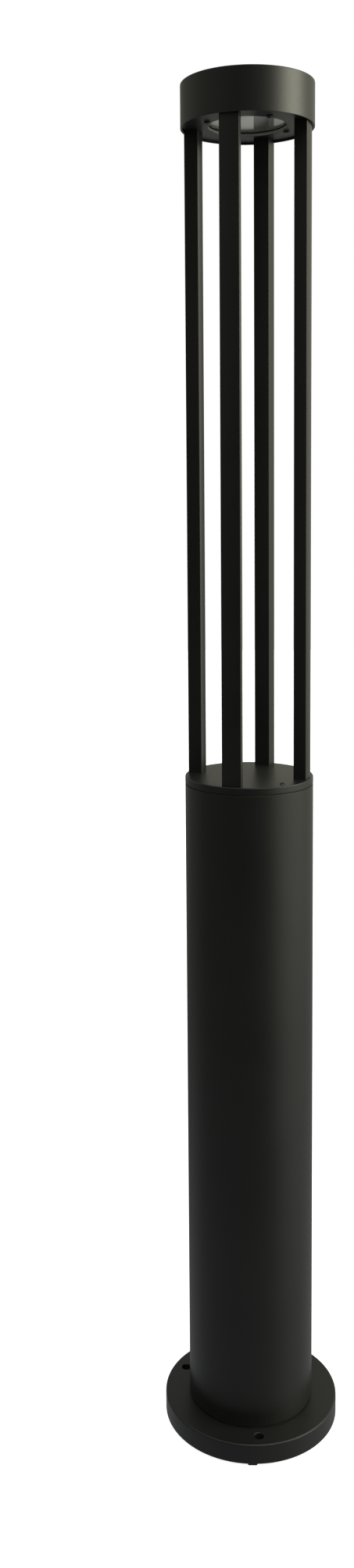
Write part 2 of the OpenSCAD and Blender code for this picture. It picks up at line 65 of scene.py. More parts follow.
def place(azimuth: float, radius: float, level: float = 0.0) -> Vector:
    """Find a point from its azimuth and its distance from the axis.

    Args:
        azimuth: Angle in degrees from -Y towards +X.
        radius: Distance from the axis.
        level: Height above the ground.

    Returns:
        The point in the frame.
    """
    angle = math.radians(azimuth)
    return Vector((radius * math.sin(angle), -radius * math.cos(angle), level))


@dataclass(frozen=True)
class Extent:
    """Radius and levels of a round node, read from the frame."""

    radius: float
    low: float
    high: float

    @classmethod
    def of(cls, node: str) -> "Extent":
        """Measure a node that stands round the axis.

        Args:
            node: Name of the CAD node.

        Returns:
            The node's outer radius and its lowest and highest level.
        """
        low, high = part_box(node)
        return cls((high.x - low.x) / 2, low.z, high.z)

    def drill(self, radius: float) -> "Solid":
        """Return a round bar that runs past both of the node's levels."""
        return bar(radius, self.low - OVER, self.high + OVER)


# ---- Solids ----


@dataclass
class Solid:
    """Closed surface, given as points and the faces between them."""

    points: list[Vector]
    faces: list[tuple[int, ...]]

    def at(self, point: Vector, azimuth: float = 0.0) -> "Solid":
        """Return a copy that is turned about its own axis and put at a point."""
        matrix = Matrix.Translation(point) @ Matrix.Rotation(math.radians(azimuth), 4, "Z")
        return Solid([matrix @ corner for corner in self.points], self.faces)


def joined(solids: Sequence[Solid]) -> Solid:
    """Return several solids as one."""
    points: list[Vector] = []
    faces: list[tuple[int, ...]] = []
    for solid in solids:
        faces += [tuple(index + len(points) for index in face) for face in solid.faces]
        points += solid.points
    return Solid(points, faces)


def sharp(*corners: tuple[float, float]) -> list[Vector]:
    """Draw an outline whose corners stay sharp."""
    return [Vector(corner) for corner in corners]


def rounded(corners: Sequence[Corner], steps: int = 6) -> list[Vector]:
    """Round the corners of a closed outline.

    Args:
        corners: The two coordinates of each corner and the radius it is rounded to.
        steps: Number of straight pieces in each rounded corner.

    Returns:
        The points of the rounded outline.
    """
    points: list[Vector] = []
    for index, (x, y, radius) in enumerate(corners):
        here = Vector((x, y))
        if radius <= 0:
            points.append(here)
            continue
        back = (Vector(corners[index - 1][:2]) - here).normalized()
        ahead = (Vector(corners[(index + 1) % len(corners)][:2]) - here).normalized()
        half = back.angle(ahead) / 2
        reach = radius / math.tan(half)
        centre = here + (back + ahead).normalized() * (radius / math.sin(half))
        start = here + back * reach - centre
        end = here + ahead * reach - centre
        turn = math.pi - 2 * half
        if start.x * end.y - start.y * end.x < 0:
            turn = -turn
        for step in range(steps + 1):
            angle = turn * step / steps
            across = Vector((-start.y, start.x))
            points.append(centre + start * math.cos(angle) + across * math.sin(angle))
    return points


def lathe(outline: Sequence[Vector], steps: int = TURN_STEPS) -> Solid:
    """Turn a closed outline of radius and height about the upright axis.

    Args:
        outline: Points of the section, each a distance from the axis and a level.
        steps: Number of facets round the axis.

    Returns:
        The solid of revolution.
    """
    points: list[Vector] = []
    rings: list[list[int]] = []
    for radius, level in outline:
        count = 1 if radius < 1e-7 else steps
        rings.append([len(points) + index for index in range(count)])
        for index in range(count):
            angle = 2 * math.pi * index / count
            points.append(Vector((radius * math.cos(angle), radius * math.sin(angle), level)))
    faces: list[tuple[int, ...]] = []
    for lower, upper in zip(rings, rings[1:] + rings[:1]):
        if len(lower) == len(upper) == 1:
            continue
        for index in range(steps):
            after = (index + 1) % steps
            corners = [lower[index % len(lower)], lower[after % len(lower)]]
            corners += [upper[after % len(upper)], upper[index % len(upper)]]
            faces.append(tuple(dict.fromkeys(corners)))
    return Solid(points, faces)


def prism(outline: Sequence[Vector], low: float, high: float) -> Solid:
    """Raise a closed outline straight up between two levels."""
    count = len(outline)
    points = [Vector((x, y, level)) for level in (low, high) for x, y in outline]
    faces: list[tuple[int, ...]] = [tuple(range(count)), tuple(range(count, 2 * count))]
    for index in range(count):
        after = (index + 1) % count
        faces.append((index, after, after + count, index + count))
    return Solid(points, faces)


def bar(radius: float, low: float, high: float, steps: int = SMALL_STEPS) -> Solid:
    """Make a plain round bar between two levels."""
    return lathe(sharp((0, low), (radius, low), (radius, high), (0, high)), steps)


def ring_outline(inner: float, size: Extent, edge: float) -> list[Vector]:
    """Draw the section of a ring whose four edges are rounded."""
    outer, low, high = size.radius, size.low, size.high
    corners = [(inner, low, edge), (outer, low, edge), (outer, high, edge), (inner, high, edge)]
    return rounded(corners, 3)


def plate_outline(size: Extent, edge: float) -> list[Vector]:
    """Draw the section of a solid disc whose rim is rounded."""
    rim = [(size.radius, size.low, edge), (size.radius, size.high, edge)]
    return rounded([(0, size.low, 0), *rim, (0, size.high, 0)], 4)


def hex_socket(across: float, low: float, depth: float) -> Solid:
    """Make the tool for a hexagon socket, from its width across the flats."""
    radius = across / 2 / math.cos(math.radians(30))
    return prism([place(60 * index, radius).xy for index in range(6)], low - OVER, low + depth)


def pan_screw(
    head: float, shank: float, levels: Sequence[float], dome: float, under: float, steps: int
) -> Solid:
    """Turn a screw that hangs head down.

    Args:
        head: Radius of the head.
        shank: Radius of the shank.
        levels: Level of the head's face, of the seat and of the tip.
        dome: Radius that rounds the head's face.
        under: Radius that rounds the head at its seat.
        steps: Number of straight pieces in each rounded corner.

    Returns:
        The screw, on the upright axis.
    """
    face, seat, tip = levels
    below = [(0, face, 0), (head, face, dome), (head, seat, under)]
    above = [(shank, seat, 0), (shank, tip, TIP_EDGE), (0, tip, 0)]
    return lathe(rounded(below + above, steps), SMALL_STEPS)


# ---- Shader expressions ----


class Signal:
    """A shader value, so that sums and products can be written as such."""

    def __init__(self, graph: "Graph", socket: bpy.types.NodeSocket) -> None:
        """Wrap an output socket of a graph."""
        self.graph = graph
        self.socket = socket

    def _math(self, operation: str, first: Any, second: Any) -> "Signal":
        """Add a Math node for an operation on two values."""
        return self.graph.node("ShaderNodeMath", {"operation": operation}, {0: first, 1: second})

    def __add__(self, other: Any) -> "Signal":
        """Return the sum."""
        return self._math("ADD", self, other)

    def __radd__(self, other: Any) -> "Signal":
        """Return the sum with a number in front."""
        return self._math("ADD", other, self)

    def __mul__(self, other: Any) -> "Signal":
        """Return the product."""
        return self._math("MULTIPLY", self, other)

    def ramp(self, low: float, high: float) -> "Signal":
        """Rise smoothly from 0 at one value to 1 at another."""
        inputs = {"Value": self, "From Min": low, "From Max": high}
        return self.graph.node("ShaderNodeMapRange", {"interpolation_type": "SMOOTHSTEP"}, inputs)


class Graph:
    """Writes the nodes of a material or of the world."""

    def __init__(self, tree: bpy.types.NodeTree) -> None:
        """Start from an empty node tree."""
        self.tree = tree
        tree.nodes.clear()

    def node(
        self,
        kind: str,
        settings: dict[str, Any] | None = None,
        inputs: dict[int | str, Any] | None = None,
        output: int | str = 0,
    ) -> Signal:
        """Add a node.

        Args:
            kind: Type name of the node.
            settings: The node's own options, set before its sockets.
            inputs: A constant or a signal for each named or numbered socket.
            output: Name or number of the socket that is wanted.

        Returns:
            The wanted output.
        """
        made = self.tree.nodes.new(kind)
        for name, value in (settings or {}).items():
            setattr(made, name, value)
        for name, value in (inputs or {}).items():
            if isinstance(value, Signal):
                self.tree.links.new(value.socket, made.inputs[name])
            else:
                made.inputs[name].default_value = value
        return Signal(self, made.outputs[output])

    def position(self) -> Signal:
        """Return the place on the object, in metres."""
        return self.node("ShaderNodeTexCoord", output="Object")

    def noise(self, pitch: float, detail: float = 2.0, stretch: Colour = (1, 1, 1)) -> Signal:
        """Make noise whose grains are about a pitch apart.

        Args:
            pitch: Distance between grains in metres.
            detail: Number of finer layers.
            stretch: How much denser the grains are along each axis.

        Returns:
            A value from 0 to 1.
        """
        factors = {0: self.position(), 1: stretch}
        scaled = self.node("ShaderNodeVectorMath", {"operation": "MULTIPLY"}, factors)
        inputs = {"Vector": scaled, "Scale": 1 / pitch, "Detail": detail}
        return self.node("ShaderNodeTexNoise", None, inputs)

    def mix(self, mask: Signal, first: Any, second: Any) -> Signal:
        """Blend two colours by a mask."""
        colours = {0: mask, 6: rgba(first), 7: rgba(second)}
        return self.node("ShaderNodeMix", {"data_type": "RGBA"}, colours, 2)

    def bump(self, height: Signal, depth: float, strength: float = 1.0) -> Signal:
        """Turn a height from 0 to 1 into a normal, at a depth in metres."""
        inputs = {"Height": height, "Distance": depth, "Strength": strength}
        return self.node("ShaderNodeBump", None, inputs)

    def surface(self, **sockets: Any) -> None:
        """Close the material with a Principled shader.

        Args:
            **sockets: Values of its sockets, with an underscore for each space.
        """
        inputs = {name.replace("_", " "): value for name, value in sockets.items()}
        inputs["Base Color"] = rgba(inputs["Base Color"])
        self.close(self.node("ShaderNodeBsdfPrincipled", None, inputs))

    def close(self, shader: Signal, end: str = "ShaderNodeOutputMaterial") -> None:
        """Link a shader to the output of the material or of the world."""
        self.tree.links.new(shader.socket, self.tree.nodes.new(end).inputs["Surface"])


def rgba(colour: Any) -> Any:
    """Return a colour with full opacity, or a signal as it is."""
    if isinstance(colour, Signal):
        return colour
    return (*colour, 1.0)


# ---- Finishes ----


@dataclass(frozen=True)
class Finish:
    """A surface finish, made into a material once."""

    slot: str
    name: str

    def paint(self, graph: Graph) -> None:
        """Write the finish's nodes."""
        raise NotImplementedError

    def material(self) -> bpy.types.Material:
        """Return the finish's material, and make it the first time."""
        name = f"{self.slot}_{self.name}"
        found = bpy.data.materials.get(name)
        if found:
            return found
        made = bpy.data.materials.new(name)
        made.use_nodes = True
        self.paint(Graph(made.node_tree))
        return made


@dataclass(frozen=True)
class PowderCoat(Finish):
    """Charcoal powder coat: satin, with a fine sandy texture."""

    slot: str = "powder_coat"
    name: str = "PowderCoat"
    dark: Colour = (0.0070, 0.0073, 0.0066)
    light: Colour = (0.0125, 0.0128, 0.0117)
    roughness: float = 0.4
    grain: float = 0.55 * MM
    peel: float = 2 * MM

    def paint(self, graph: Graph) -> None:
        """Write the coat's nodes."""
        cloud = graph.noise(90 * MM, 3)
        grain = graph.noise(self.grain, 2)
        peel = graph.noise(self.peel, 1)
        fleck = graph.noise(0.8 * MM, 1).ramp(0.62, 0.78)
        tone = cloud.ramp(0.3, 0.7) * 0.6 + fleck * 0.4
        height = grain * 0.55 + peel * 0.45
        graph.surface(
            Base_Color=graph.mix(tone, self.dark, self.light),
            Roughness=self.roughness - 0.07 + cloud * 0.05 + grain * 0.05 + peel * 0.07,
            IOR=1.5,
            Normal=graph.bump(height, 0.028 * MM, 0.9),
        )


@dataclass(frozen=True)
class Noise:
    """Noise over a surface, or its rise through a band of values."""

    pitch: float
    detail: float = 2.0
    stretch: Colour = (1, 1, 1)
    band: tuple[float, float] | None = None

    def draw(self, graph: Graph) -> Signal:
        """Write the noise's nodes."""
        value = graph.noise(self.pitch, self.detail, self.stretch)
        return value.ramp(*self.band) if self.band else value


@dataclass(frozen=True)
class Spangle:
    """Crystals of zinc, each in a grey of its own."""

    pitch: float

    def draw(self, graph: Graph) -> Signal:
        """Write the crystals' nodes."""
        cells = {"Vector": graph.position(), "Scale": 1 / self.pitch}
        crystal = graph.node("ShaderNodeTexVoronoi", None, cells, "Color")
        return graph.node("ShaderNodeRGBToBW", None, {"Color": crystal})


@dataclass(frozen=True)
class Rings:
    """Rings round the upright axis, as spinning leaves them."""

    pitch: float

    def draw(self, graph: Graph) -> Signal:
        """Write the rings' nodes."""
        inputs = {"Vector": graph.position(), "Scale": 0.5 / self.pitch, "Distortion": 0.4}
        settings = {"wave_type": "RINGS", "rings_direction": "Z"}
        rings = graph.node("ShaderNodeTexWave", settings, inputs)
        return graph.node("ShaderNodeRGBToBW", None, {"Color": rings})


@dataclass(frozen=True)
class TwoTone(Finish):
    """Two tones that a mask spreads, over a raised texture; both add to the roughness."""

    colour: Colour
    other: Colour
    mask: Noise | Spangle
    texture: Noise | Rings
    depth: float
    strength: float
    roughness: float
    mask_gain: float = 0.0
    texture_gain: float = 0.0
    metallic: float = 0.0

    def paint(self, graph: Graph) -> None:
        """Write the nodes of the tones and of the texture."""
        mask = self.mask.draw(graph)
        texture = self.texture.draw(graph)
        graph.surface(
            Base_Color=graph.mix(mask, self.colour, self.other),
            Metallic=self.metallic,
            Roughness=self.roughness + mask * self.mask_gain + texture * self.texture_gain,
            Normal=graph.bump(texture, self.depth, self.strength),
        )


@dataclass(frozen=True)
class ClearGlass(Finish):
    """Clear toughened glass with a trace of dust."""

    slot: str = "glass"
    name: str = "ClearGlass"
    tint: Colour = (0.97, 0.975, 0.94)

    def paint(self, graph: Graph) -> None:
        """Write the glass's nodes."""
        dust = graph.noise(4 * MM, 4).ramp(0.5, 0.9)
        graph.surface(
            Base_Color=self.tint,
            Roughness=0.015 + dust * 0.05,
            IOR=1.5,
            Transmission_Weight=1.0,
        )


@dataclass(frozen=True)
class Lacquer(Finish):
    """White solder mask over the lamp board's copper."""

    slot: str = "board"
    name: str = "Lacquer"
    colour: Colour = (0.78, 0.79, 0.76)
    trace: Colour = (0.66, 0.68, 0.64)

    def paint(self, graph: Graph) -> None:
        """Write the lacquer's nodes."""
        cells = {"Vector": graph.position(), "Scale": 1 / (3.5 * MM)}
        settings = {"distance": "MANHATTAN", "feature": "F1"}
        trace = graph.node("ShaderNodeTexVoronoi", settings, cells, "Distance").ramp(0.35, 0.4)
        graph.surface(
            Base_Color=graph.mix(trace, self.colour, self.trace),
            Roughness=0.4 + graph.noise(2 * MM) * 0.1,
            Normal=graph.bump(trace, 0.03 * MM, 0.5),
        )


@dataclass(frozen=True)
class Phosphor(Finish):
    """Yellow silicone over the lamp's chips, inside a pale dam."""

    slot: str = "phosphor"
    name: str = "Phosphor"
    colour: Colour = (0.82, 0.62, 0.16)
    dam: Colour = (0.8, 0.8, 0.76)
    face_radius: float = 5.2 * MM

    def paint(self, graph: Graph) -> None:
        """Write the nodes of the disc and of its dam."""
        flat = {0: graph.position(), 1: (1, 1, 0)}
        across = graph.node("ShaderNodeVectorMath", {"operation": "MULTIPLY"}, flat)
        radius = graph.node("ShaderNodeVectorMath", {"operation": "LENGTH"}, {0: across}, "Value")
        rim = radius.ramp(self.face_radius - 0.05 * MM, self.face_radius + 0.05 * MM)
        speck = graph.noise(0.3 * MM, 2)
        graph.surface(
            Base_Color=graph.mix(rim, self.colour, self.dam),
            Roughness=0.3 + rim * 0.25,
            Subsurface_Weight=0.1,
            Subsurface_Scale=1 * MM,
            Normal=graph.bump(speck, 0.01 * MM, 0.4),
        )


@dataclass(frozen=True)
class EarthSheath(Finish):
    """Green insulation with a yellow stripe that winds round it."""

    slot: str = "earth"
    name: str = "EarthSheath"
    green: Colour = (0.03, 0.26, 0.05)
    yellow: Colour = (0.75, 0.6, 0.04)

    def paint(self, graph: Graph) -> None:
        """Write the striped sheath's nodes."""
        inputs = {"Vector": graph.position(), "Scale": 1 / (6 * MM)}
        settings = {"wave_type": "BANDS", "bands_direction": "DIAGONAL"}
        wave = graph.node("ShaderNodeTexWave", settings, inputs)
        stripe = graph.node("ShaderNodeRGBToBW", None, {"Color": wave}).ramp(0.6, 0.66)
        graph.surface(
            Base_Color=graph.mix(stripe, self.green, self.yellow),
            Roughness=0.42 + graph.noise(1 * MM) * 0.1,
            Normal=graph.bump(graph.noise(0.5 * MM), 0.01 * MM, 0.4),
        )


COAT = PowderCoat()
GLASS = ClearGlass()
BOARD = Lacquer()
PHOSPHOR = Phosphor()
EARTH = EarthSheath()
# Black moulded rubber with a dull skin
RUBBER = TwoTone("rubber", "Rubber", (0.012, 0.012, 0.012), (0.028, 0.028, 0.027),
                 Noise(6 * MM, 3, band=(0.4, 0.75)), Noise(0.35 * MM, 1), 0.02 * MM, 0.6, 0.62, 0.15)
# Stainless steel with fine tool marks, blackened on the fasteners that show outside
STEEL = TwoTone("steel", "TurnedSteel", (0.52, 0.52, 0.5), (0.36, 0.35, 0.33),
                Noise(3 * MM, 3, band=(0.45, 0.8)), Noise(0.25 * MM, 1, (1, 1, 6)),
                0.004 * MM, 0.7, 0.28, 0.12, 0.06, 1.0)
BLACK_STEEL = replace(STEEL, name="BlackenedSteel", colour=(0.07, 0.07, 0.068),
                      other=(0.035, 0.035, 0.034), roughness=0.3)
BRASS = replace(STEEL, slot="brass", colour=(0.7, 0.48, 0.18), other=(0.45, 0.3, 0.12), roughness=0.3)
# Hot-dipped sheet with its spangle
SHEET = TwoTone("galvanised", "GalvanisedSheet", (0.56, 0.58, 0.6), (0.36, 0.38, 0.4),
                Spangle(9 * MM), Noise(0.6 * MM), 0.01 * MM, 0.5, 0.34, 0.2, 0.0, 0.9)
# Bare cast aluminium, slightly pebbled
CAST = TwoTone("cast", "CastAlloy", (0.5, 0.51, 0.52), (0.33, 0.34, 0.35),
               Noise(8 * MM, 4, band=(0.35, 0.7)), Noise(0.7 * MM), 0.03 * MM, 0.6, 0.42, 0.15, 0.0, 1.0)
# Painted light: a pale satin colour on the powder-coated wall round the glass, so that this wall reads as
# lit, with fine lengthwise marks as its texture
LIT_SEAT_PAINT = TwoTone("powder_coat", "PaintedLitSeat", (0.62, 0.61, 0.55), (0.48, 0.47, 0.42),
               Noise(4 * MM, 3), Noise(0.3 * MM, 1, (1, 1, 8)), 0.004 * MM, 0.6, 0.5, 0.0, 0.1, 0.35)
# Bright anodised alloy with the rings that spinning leaves
MIRROR = TwoTone("reflector", "SpunReflector", (0.9, 0.9, 0.87), (0.78, 0.78, 0.75),
                 Noise(5 * MM), Rings(0.5 * MM), 0.004 * MM, 0.5, 0.38, 0.0, 0.06, 1.0)
# Moulded plastic with a spark-eroded skin
BOX = TwoTone("box", "MouldedCase", (0.27, 0.29, 0.3), (0.35, 0.37, 0.38),
              Noise(14 * MM, 4, (1, 1, 0.3), (0.5, 0.8)), Noise(0.4 * MM), 0.02 * MM, 0.7, 0.5, 0.12)
DRIVER = replace(BOX, slot="driver", colour=(0.62, 0.63, 0.61), other=(0.7, 0.71, 0.69))
# Extruded sheath with faint lengthwise drag
DRAG = Noise(0.9 * MM, 2, (1, 1, 0.05))
CABLE = TwoTone("cable", "CableSheath", (0.012, 0.012, 0.013), (0.035, 0.035, 0.036),
                replace(DRAG, band=(0.5, 0.8)), DRAG, 0.03 * MM, 0.4, 0.45, 0.0, 0.15)


# ---- Workpieces ----


class Cut(Enum):
    """What a tool does to a workpiece."""

    AWAY = "DIFFERENCE"
    JOIN = "UNION"


def raw_object(name: str, solid: Solid) -> bpy.types.Object:
    """Make an object of a solid, with its faces turned outwards.

    Args:
        name: Name of the object.
        solid: The shape, in metres in the frame.

    Returns:
        The object, linked to the scene.
    """
    shape = bmesh.new()
    corners = [shape.verts.new(point) for point in solid.points]
    for face in solid.faces:
        shape.faces.new([corners[index] for index in face])
    bmesh.ops.recalc_face_normals(shape, faces=shape.faces)
    mesh = bpy.data.meshes.new(name)
    shape.to_mesh(mesh)
    shape.free()
    made = bpy.data.objects.new(name, mesh)
    bpy.context.scene.collection.objects.link(made)
    return made


class Workpiece:
    """A piece in the making: cut, joined, softened and then dressed."""

    def __init__(self, name: str, solid: Solid) -> None:
        """Start from a solid."""
        self.object = raw_object(name, solid)

    def _settle(self) -> None:
        """Fix the modifiers' result in the mesh."""
        graph = bpy.context.evaluated_depsgraph_get()
        mesh = bpy.data.meshes.new_from_object(self.object.evaluated_get(graph))
        self.object.modifiers.clear()
        self.object.data = mesh

    def work(self, cut: Cut, tools: Sequence[Solid]) -> "Workpiece":
        """Cut tools away from the piece, or join them to it.

        Args:
            cut: Whether the tools are cut away or joined.
            tools: Solids that don't touch each other.

        Returns:
            The workpiece itself.
        """
        tool = raw_object("tool", joined(tools))
        modifier = self.object.modifiers.new("Work", "BOOLEAN")
        modifier.operation = cut.value
        modifier.solver = "EXACT"
        modifier.object = tool
        self._settle()
        bpy.data.objects.remove(tool)
        return self

    def soften(self, width: float, segments: int = 3) -> "Workpiece":
        """Round every sharp edge of the piece."""
        modifier = self.object.modifiers.new("Soften", "BEVEL")
        modifier.width = width
        modifier.segments = segments
        modifier.limit_method = "ANGLE"
        self._settle()
        return self

    def dress(self, finish: Finish, *nodes: str) -> bpy.types.Object:
        """Finish the piece and let it stand for CAD nodes.

        Args:
            finish: The surface finish.
            *nodes: Names of the CAD nodes that it replaces.

        Returns:
            The finished object.
        """
        piece = self.object
        piece.data.shade_smooth()
        piece.data.set_sharp_from_angle(angle=math.radians(32))
        weighted = piece.modifiers.new("Flats", "WEIGHTED_NORMAL")
        weighted.keep_sharp = True
        piece.data.materials.clear()
        piece.data.materials.append(finish.material())
        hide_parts(*nodes)
        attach(piece, "root")
        LOG.info("%s: %d faces in %s", piece.name, len(piece.data.polygons), finish.slot)
        return piece


def dress_node(name: str, finish: Finish) -> None:
    """Give a CAD node that keeps its shape its finish."""
    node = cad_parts[name]
    node.data.materials.clear()
    node.data.materials.append(finish.material())
    LOG.info("%s: kept, in %s", name, finish.slot)


# ---- Sub-assemblies ----


@dataclass
class Layout:
    """Where the repeated fasteners and posts stand round the axis."""

    post_turn: float = -22.5
    lead_post: int = 2
    nipple_radius: float = 3.7 * MM
    rod_radius: float = 3 * MM
    port_radius: float = 5 * MM
    shank_gap: float = 0.3 * MM
    thread_gap: float = 0.1 * MM

    def __post_init__(self) -> None:
        """Read the posts' outer radius and their circle, and work out what follows from them."""
        self.post_radius = Extent.of("carrier_plate").radius
        low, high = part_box("lead_nipples")
        self.bore_circle = Vector(((low.x + high.x) / 2, (low.y + high.y) / 2)).length
        self.register = self.bore_circle - self.port_radius - self.shank_gap
        self.rod_way = self.rod_radius + self.shank_gap
        self.rod_tap = self.rod_radius + self.thread_gap
        self.rod_posts = [index for index in range(4) if index != self.lead_post]

    def post_azimuth(self, index: int) -> float:
        """Return the azimuth of a post."""
        return self.post_turn + 90 * index

    def on_posts(self, tool: Solid, indices: Sequence[int] = range(4)) -> list[Solid]:
        """Repeat a tool on the axes of the posts."""
        turns = [self.post_azimuth(index) for index in indices]
        return [tool.at(place(turn, self.bore_circle), turn) for turn in turns]

    def between_posts(self, tool: Solid, circle: float, turn: float = 0.0) -> list[Solid]:
        """Repeat a tool between the posts, on a circle."""
        turns = [self.post_azimuth(index) + 45 + turn for index in range(4)]
        return [tool.at(place(azimuth, circle), azimuth) for azimuth in turns]

    def gasket_outline(self, size: Extent) -> list[Vector]:
        """Draw the section of a flat gasket at an end of the column."""
        return ring_outline(self.register + self.shank_gap, size, GASKET_EDGE)

    def ways(self, plate: Extent, radius: float) -> list[Solid]:
        """Return the tools that open a plate for the rods and the lead's nipple.

        Args:
            plate: The plate's levels.
            radius: Radius of each rod's bore.

        Returns:
            A tool on the axis of each post.
        """
        rods = self.on_posts(plate.drill(radius), self.rod_posts)
        return rods + self.on_posts(plate.drill(self.nipple_radius), [self.lead_post])


@dataclass
class Base:
    """Cast flange with its pads, its screws and the gasket under the column."""

    layout: Layout
    wall: float = 8 * MM
    top_edge: float = 1.5 * MM
    small_edge: float = 0.5 * MM
    entry_radius: float = 18 * MM
    hub_wall: float = 3 * MM
    anchor_circle: float = 67.5 * MM
    anchor_radius: float = 4.25 * MM
    anchor_bevel: float = 0.3 * MM
    boss_radius: float = 9 * MM
    boss_lift: float = 0.3 * MM
    rib_width: float = 5 * MM
    pad_turn: float = -5.0
    pad_width: float = 8.4 * MM
    pad_depth: float = 5 * MM
    pad_setback: float = 1 * MM
    pad_gap: float = 0.15 * MM
    pad_corner: float = 0.8 * MM
    pad_edge: float = 0.4 * MM
    screw_head: float = 6 * MM
    screw_sink: float = 3.3 * MM
    screw_edge: float = 0.2 * MM
    screw_tip: float = 0.4 * MM
    socket_across: float = 4 * MM
    socket_depth: float = 2.4 * MM

    def __post_init__(self) -> None:
        """Read the levels of the flange."""
        self.size = Extent.of("base_flange")
        self.gasket = Extent.of("base_gasket")
        self.top = self.gasket.low
        self.web = self.top - self.wall

    @staticmethod
    def thirds(turn: float = 0.0) -> list[float]:
        """Return three azimuths that are evenly apart."""
        return [120 * index + turn for index in range(3)]

    def casting(self) -> Workpiece:
        """Turn the flange, join its bosses and ribs, and drill it."""
        low, high, edge = self.size.low, self.size.high, self.small_edge
        register = self.layout.register
        hub = self.layout.bore_circle + self.layout.port_radius + self.hub_wall
        rim = self.size.radius - self.wall
        outline = rounded([
            (self.entry_radius, high, edge),
            (self.entry_radius, self.web, edge),
            (register, self.web, edge),
            (register, low, edge),
            (hub, low, edge),
            (hub, self.web, 2 * edge),
            (rim, self.web, 2 * edge),
            (rim, low, edge),
            (self.size.radius, low, edge),
            (self.size.radius, self.top, self.top_edge),
            (register, self.top, 0),
            (register, high, edge),
        ])
        piece = Workpiece("flange_casting", lathe(outline, FINE_STEPS))
        lift = low + self.boss_lift
        boss = bar(self.boss_radius, lift, self.web + OVER, HOLE_STEPS)
        bosses = [boss.at(place(turn, self.anchor_circle)) for turn in self.thirds()]
        span = (rim - hub) / 2 + OVER
        half = self.rib_width / 2
        bounds = sharp((-half, -span), (half, -span), (half, span), (-half, span))
        rib = prism(bounds, lift, self.web + OVER)
        ribs = [rib.at(place(turn, (rim + hub) / 2), turn) for turn in self.thirds(60)]
        piece.work(Cut.JOIN, bosses + ribs)
        return piece.work(Cut.AWAY, self.drills())

    def drills(self) -> list[Solid]:
        """Return the tools for the anchor holes, the screws and the pads."""
        low, top = self.size.low - OVER, self.top + OVER
        radius, bevel = self.anchor_radius, self.anchor_bevel
        mouth = radius + bevel + OVER
        flare = [(radius, self.top - bevel), (mouth, top), (0, top)]
        anchor = lathe(sharp((0, low), (radius, low), *flare), HOLE_STEPS)
        tools = [anchor.at(place(turn, self.anchor_circle)) for turn in self.thirds()]
        shank = self.layout.rod_way
        head = self.screw_head + self.layout.shank_gap
        cone = [(head, self.size.low), (shank, self.size.low + self.screw_sink)]
        screw = lathe(sharp((0, low), (head, low), *cone, (shank, top), (0, top)), SMALL_STEPS)
        return tools + self.layout.on_posts(screw) + self.pads(self.pad_gap, OVER)

    def pads(self, gap: float = 0.0, drop: float = 0.0) -> list[Solid]:
        """Return the pads, or with a gap the pockets that they sit in.

        Args:
            gap: How much wider than a pad its pocket is on each side.
            drop: How far a pocket runs past the pad's lower face.

        Returns:
            Three solids under the rim of the flange.
        """
        low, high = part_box("seating_pads")
        half, corner = self.pad_width / 2 + gap, self.pad_corner + gap
        front, back = -gap, self.pad_depth + gap
        corners = [(-half, front), (half, front), (half, back), (-half, back)]
        outline = rounded([(x, y, corner) for x, y in corners], 4)
        pad = prism(outline, low.z - drop, high.z)
        circle = self.size.radius - self.pad_setback
        return [pad.at(place(turn, circle), turn) for turn in self.thirds(self.pad_turn)]

    def screws(self) -> Workpiece:
        """Make the countersunk screws, with a hexagon socket in each."""
        size = Extent.of("flange_screws")
        radius = self.layout.rod_radius
        head = [(0, size.low, 0), (self.screw_head, size.low, self.screw_edge)]
        shank = [(radius, size.low + self.screw_sink, 0), (radius, size.high, self.screw_tip)]
        screw = lathe(rounded([*head, *shank, (0, size.high, 0)], 3), SMALL_STEPS)
        piece = Workpiece("flange_screw_set", joined(self.layout.on_posts(screw)))
        hollow = hex_socket(self.socket_across, size.low, self.socket_depth)
        return piece.work(Cut.AWAY, self.layout.on_posts(hollow))

    def build(self) -> None:
        """Make and dress the base's pieces."""
        self.casting().dress(COAT, "base_flange")
        pads = Workpiece("foot_pads", joined(self.pads()))
        pads.soften(self.pad_edge).dress(RUBBER, "seating_pads")
        self.screws().dress(STEEL, "flange_screws")
        gasket = Workpiece("base_gasket_ring", lathe(self.layout.gasket_outline(self.gasket)))
        hole = self.gasket.drill(self.layout.rod_way)
        gasket.work(Cut.AWAY, self.layout.on_posts(hole)).dress(RUBBER, "base_gasket")


@dataclass
class Column:
    """Extruded tube with its four screw ports."""

    layout: Layout
    wall: float = 3.5 * MM
    edge: float = 0.35 * MM
    port_inset: float = 0.2 * MM
    lead_cut: float = 130 * MM

    def build(self) -> None:
        """Make and dress the tube."""
        size = Extent.of("column_tube")
        tube = lathe(ring_outline(size.radius - self.wall, size, self.edge), FINE_STEPS)
        piece = Workpiece("column_extrusion", tube)
        foot, radius = size.low + self.port_inset, self.layout.port_radius
        port = bar(radius, foot, size.high - self.port_inset)
        short_port = bar(radius, foot, size.high - self.lead_cut)
        tools = self.layout.on_posts(port, self.layout.rod_posts)
        piece.work(Cut.JOIN, tools + self.layout.on_posts(short_port, [self.layout.lead_post]))
        drill = size.drill(self.layout.rod_tap)
        piece.work(Cut.AWAY, self.layout.on_posts(drill)).dress(COAT, "column_tube")


